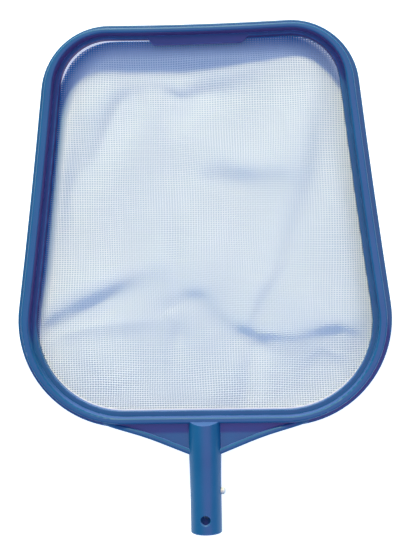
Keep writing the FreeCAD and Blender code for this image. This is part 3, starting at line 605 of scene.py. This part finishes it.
def beyond_rim(tree, place):
    """How far a place lies outside the middle of the hoop's rim, negative inside it."""
    parts = node(tree, "SeparateXYZ", {0: place})
    x = maths(tree, "ABSOLUTE", parts.outputs[0])
    y = parts.outputs[1]
    corner = spread(tree, y, 0.0, 0.1, *RIM_CORNERS)
    side = maths(tree, "ADD", corner, -RIM_SIDE)
    side = maths(tree, "MULTIPLY_ADD", x, RIM_SIDE_FACES[0], side)
    side = maths(tree, "MULTIPLY_ADD", y, RIM_SIDE_FACES[1], side)
    front = maths(tree, "ADD", maths(tree, "ADD", y, corner), -RIM_FRONT)
    rear = maths(tree, "ADD", maths(tree, "SUBTRACT", corner, y), RIM_REAR)
    along = maths(tree, "MAXIMUM", front, rear)
    inside = maths(tree, "MINIMUM", maths(tree, "MAXIMUM", side, along), 0.0)
    across = maths(tree, "MAXIMUM", side, 0.0)
    along = maths(tree, "MAXIMUM", along, 0.0)
    squared = maths(tree, "MULTIPLY", across, across)
    reach = maths(tree, "SQRT", maths(tree, "MULTIPLY_ADD", along, along, squared))
    return maths(tree, "SUBTRACT", maths(tree, "ADD", reach, inside), corner)


def make_thread_material():
    """Fine nylon thread, pale blue, with slow changes of shade along and between the threads,
    and painted shade from the rim along the front and left.
    """
    material, tree, shader = new_tree("net_thread")
    place = node(tree, "TexCoord").outputs["Object"]
    weft_place = node(tree, "Mapping", {"Vector": place, "Scale": (30.0, 500.0, 1.0)})
    warp_place = node(tree, "Mapping", {"Vector": place, "Scale": (500.0, 30.0, 1.0)})
    weft = noise(tree, weft_place.outputs[0], 1.0, 1.0)
    warp = noise(tree, warp_place.outputs[0], 1.0, 1.0)
    streak = spread(tree, maths(tree, "ADD", weft, warp), 0.8, 1.2)
    colour = mixed(tree, streak, (0.88, 0.91, 0.94, 1), (0.92, 0.94, 0.97, 1))
    # painted shade of the rim on the net: deep blue along the front and the left side, fading
    # inward
    parts = node(tree, "SeparateXYZ", {0: place})
    x, y = parts.outputs[0], parts.outputs[1]
    fade = spread(tree, y, 0.130, 0.170, *RIM_SHADE_REACH)
    near_rim = spread(tree, beyond_rim(tree, place), fade, -RIM_SHADE_START)
    front_left = spread(tree, maths(tree, "MULTIPLY_ADD", x, -0.9, y), 0.06, 0.12)
    colour = mixed(
        tree, maths(tree, "MULTIPLY", near_rim, front_left), colour, (0.02, 0.24, 0.54, 1)
    )
    fibre = noise(tree, place, 6000.0, 2.0)
    rough = spread(tree, fibre, 0.3, 0.7, 0.45, 0.60)
    bump = node(tree, "Bump", {"Strength": 0.4, "Distance": 0.03 * MM, "Height": fibre})
    shader.inputs["Specular IOR Level"].default_value = 0.3
    tree.links.new(colour, shader.inputs["Base Color"])
    tree.links.new(rough, shader.inputs["Roughness"])
    tree.links.new(bump.outputs[0], shader.inputs["Normal"])
    return material


def make_tape_material():
    """White tape with a fine grain, with painted light where it peeps out: it glows there."""
    material, tree, shader = new_tree("sealed_tape_white")
    place = node(tree, "TexCoord").outputs["Object"]
    fine = noise(tree, place, 1200.0, 3.0)
    broad = noise(tree, place, 90.0, 3.0)
    colour = mixed(tree, broad, (0.90, 0.92, 0.95, 1), (0.97, 0.98, 0.99, 1))
    rough = spread(tree, fine, 0.3, 0.7, 0.4, 0.6)
    bump = node(tree, "Bump", {"Strength": 0.5, "Distance": 0.05 * MM, "Height": fine})
    # painted light: the tape glows where it peeps out at the front left, in the rim's shadow
    parts = node(tree, "SeparateXYZ", {0: place})
    front = spread(tree, parts.outputs[1], 0.145, 0.170)
    left = spread(tree, parts.outputs[0], -0.02, -0.03)
    lit = maths(tree, "MULTIPLY", front, left)
    glow = mixed(tree, lit, BLACK, (0.88, 0.92, 0.90, 1))
    shader.inputs["Emission Strength"].default_value = 0.42
    tree.links.new(glow, shader.inputs["Emission Color"])
    tree.links.new(colour, shader.inputs["Base Color"])
    tree.links.new(rough, shader.inputs["Roughness"])
    tree.links.new(bump.outputs[0], shader.inputs["Normal"])
    return material


def paint(name, material):
    """Gives a CAD piece its material."""
    for held in nodes[name].material_slots:
        held.material = material


def set_camera():
    """The camera that took the photograph, as fitted to the part's outline."""
    camera = bpy.data.cameras.new("photo_camera")
    camera.sensor_fit = "VERTICAL"
    camera.sensor_height = 24.0
    camera.lens = 44.0
    holder = bpy.data.objects.new("photo_camera", camera)
    right = (0.99819, -0.01892, -0.05714)
    up = (0.01889, 0.99982, -0.00108)
    back = (0.05715, 0.0, 0.99837)
    turn = Matrix((right, up, back)).transposed().to_4x4()
    holder.matrix_world = Matrix.Translation((0.05076, -0.00307, 0.82895)) @ turn
    bpy.context.scene.collection.objects.link(holder)
    bpy.context.scene.camera = holder


def add_light(name, place, size, power, colour, target=(0, 0, 0)):
    """A round panel that faces its target."""
    light = bpy.data.lights.new(name, "AREA")
    light.shape = "DISK"
    light.size = size
    light.energy = power
    light.color = colour
    holder = bpy.data.objects.new(name, light)
    aim = Vector(place) - Vector(target)
    holder.location = place
    holder.rotation_euler = aim.to_track_quat("Z", "Y").to_euler()
    bpy.context.scene.collection.objects.link(holder)
    return holder


def set_stage():
    """A plain pale floor."""
    bed = bmesh.new()
    bmesh.ops.create_grid(bed, x_segments=1, y_segments=1, size=60.0)
    floor = new_object("floor", bed)
    material, tree, shader = new_tree("pale_floor")
    place = node(tree, "TexCoord").outputs["Object"]
    mottle = noise(tree, place, 25.0, 3.0)
    colour = mixed(tree, mottle, (0.87, 0.87, 0.88, 1), (0.90, 0.90, 0.91, 1))
    # beyond the object the floor glows faintly, so that it is evenly white; under the net and
    # the tube it has a darker, bluish tone and no glow, which is painted shade under the object,
    # against which the mesh shows
    parts = node(tree, "SeparateXYZ", {0: place})
    x, y = maths(tree, "ABSOLUTE", parts.outputs[0]), parts.outputs[1]
    beside = maths(tree, "SUBTRACT", x, TUBE_HALF_WIDTH)
    before = maths(tree, "SUBTRACT", TUBE_Y[0], y)
    behind = maths(tree, "ADD", y, -TUBE_Y[1])
    off_tube = maths(tree, "MAXIMUM", maths(tree, "MAXIMUM", beside, before), behind)
    off_hoop = spread(tree, beyond_rim(tree, place), -0.004, 0.004)
    open_floor = maths(tree, "MULTIPLY", off_hoop, spread(tree, off_tube, 0.0, 0.002))
    colour = mixed(tree, open_floor, (0.58, 0.65, 0.76, 1), colour)
    glow = mixed(tree, open_floor, BLACK, WHITE)
    tree.links.new(colour, shader.inputs["Base Color"])
    tree.links.new(glow, shader.inputs["Emission Color"])
    shader.inputs["Emission Strength"].default_value = 0.82
    shader.inputs["Roughness"].default_value = 0.9
    shader.inputs["Specular IOR Level"].default_value = 0.1
    floor.data.materials.append(material)


def set_light():
    """Soft blue light all round, and a small warm light from the front."""
    world = bpy.data.worlds.new("soft_studio")
    world.use_nodes = True
    sky = world.node_tree.nodes["Background"]
    sky.inputs["Strength"].default_value = 0.84
    # the backdrop is pale where it is seen, and lights the object with a soft blue
    seen = node(world.node_tree, "LightPath").outputs["Is Camera Ray"]
    backdrop = mixed(world.node_tree, seen, (0.42, 0.63, 1.0, 1), (1.12, 1.14, 1.16, 1))
    world.node_tree.links.new(backdrop, sky.inputs["Color"])
    bpy.context.scene.world = world
    # the rim's shadow on the net gives the main light's direction
    place = Vector((-0.242, 1.835, 1.0)).normalized() * 4.0
    add_light("main_light", place, 0.45, 187.0, (1.0, 0.90, 0.46))
    # a panel overhead, which shows only as a violet sheen on the plastic
    panel = add_light(
        "overhead_sheen", (0.55, 0, 1.6), 2.4, 43.0, (1.0, 0.05, 0.40), target=(0.55, 0, 0)
    )
    panel.visible_diffuse = False
    view = bpy.context.scene.view_settings
    view.view_transform = "Standard"
    view.look = "None"


moulded_grain = make_grain_group()
worn_and_highlit_edges = make_wear_and_highlight_group()
frame_blue = plastic(
    "frame_blue",
    deep=(0.003, 0.100, 0.240, 1),
    pale=(0.005, 0.116, 0.270, 1),
    # a pale blue on the edges: partly rubbed wear, partly a painted highlight along the crests
    edge_wear_and_highlight=(0.17, 0.30, 0.76, 1),
    gloss=0.40,
    grain_size=0.45,
    grain_depth=0.012,
    specular=0.25,
    # painted shade in violet on inner walls turned from the main light, painted light in a paler
    # blue on walls facing it
    wall_shade_and_light=((0.075, 0.048, 0.190, 1), (0.080, 0.165, 0.470, 1)),
)
ring_blue = plastic(
    "ring_blue",
    deep=(0.004, 0.092, 0.225, 1),
    pale=(0.006, 0.108, 0.255, 1),
    edge_wear_and_highlight=(0.05, 0.18, 0.36, 1),
    gloss=0.46,
    grain_size=0.8,
    grain_depth=0.03,
)
clip_white = plastic(
    "clip_white",
    deep=(0.64, 0.63, 0.60, 1),
    pale=(0.72, 0.71, 0.68, 1),
    edge_wear_and_highlight=(0.78, 0.77, 0.74, 1),
    gloss=0.38,
    grain_size=0.6,
    grain_depth=0.01,
    milky=True,
)
paint("hoop_frame", frame_blue)
paint("clamp_ring", ring_blue)
paint("clip_anchor_leg", clip_white)
paint("clip_button_leg", clip_white)

net, net_size, net_area = make_net()
net.data.materials.append(make_thread_material())
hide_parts("net")
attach(net, "head")

tape = make_tape()
tape.data.materials.append(make_tape_material())
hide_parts("edge_binding")
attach(tape, "head")

set_camera()
set_stage()
set_light()
